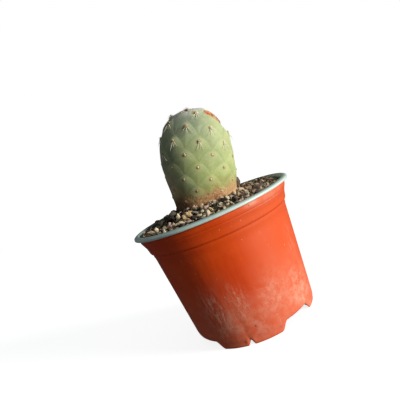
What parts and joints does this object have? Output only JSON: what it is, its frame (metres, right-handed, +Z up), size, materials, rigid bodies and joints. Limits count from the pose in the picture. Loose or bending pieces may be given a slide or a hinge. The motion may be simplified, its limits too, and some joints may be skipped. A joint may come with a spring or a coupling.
{
  "type": "potted cactus",
  "caption": "Egg-shaped cactus segment with a spiral of diamond tubercles, leaning in a thin round plastic pot of gritty soil.",
  "frame": {"origin": "centre of the row's footprint, level with the bottom of the pot's feet", "axes": "+Z up along the pot's axis. The side that the picture shows faces -Y, and the cactus leans towards +X."},
  "size_m": [0.1064, 0.1064, 0.1455],
  "materials": {
    "pot": "satin orange plastic, scuffed and dusty, with a pale blue-green lip and inside",
    "soil": "rough",
    "cactus": "matt, waxy, grey-green"
  },
  "bodies": {
    "root": {"pot": "pot", "soil": "soil", "cactus_stem": "cactus"}
  },
  "joints": []
}
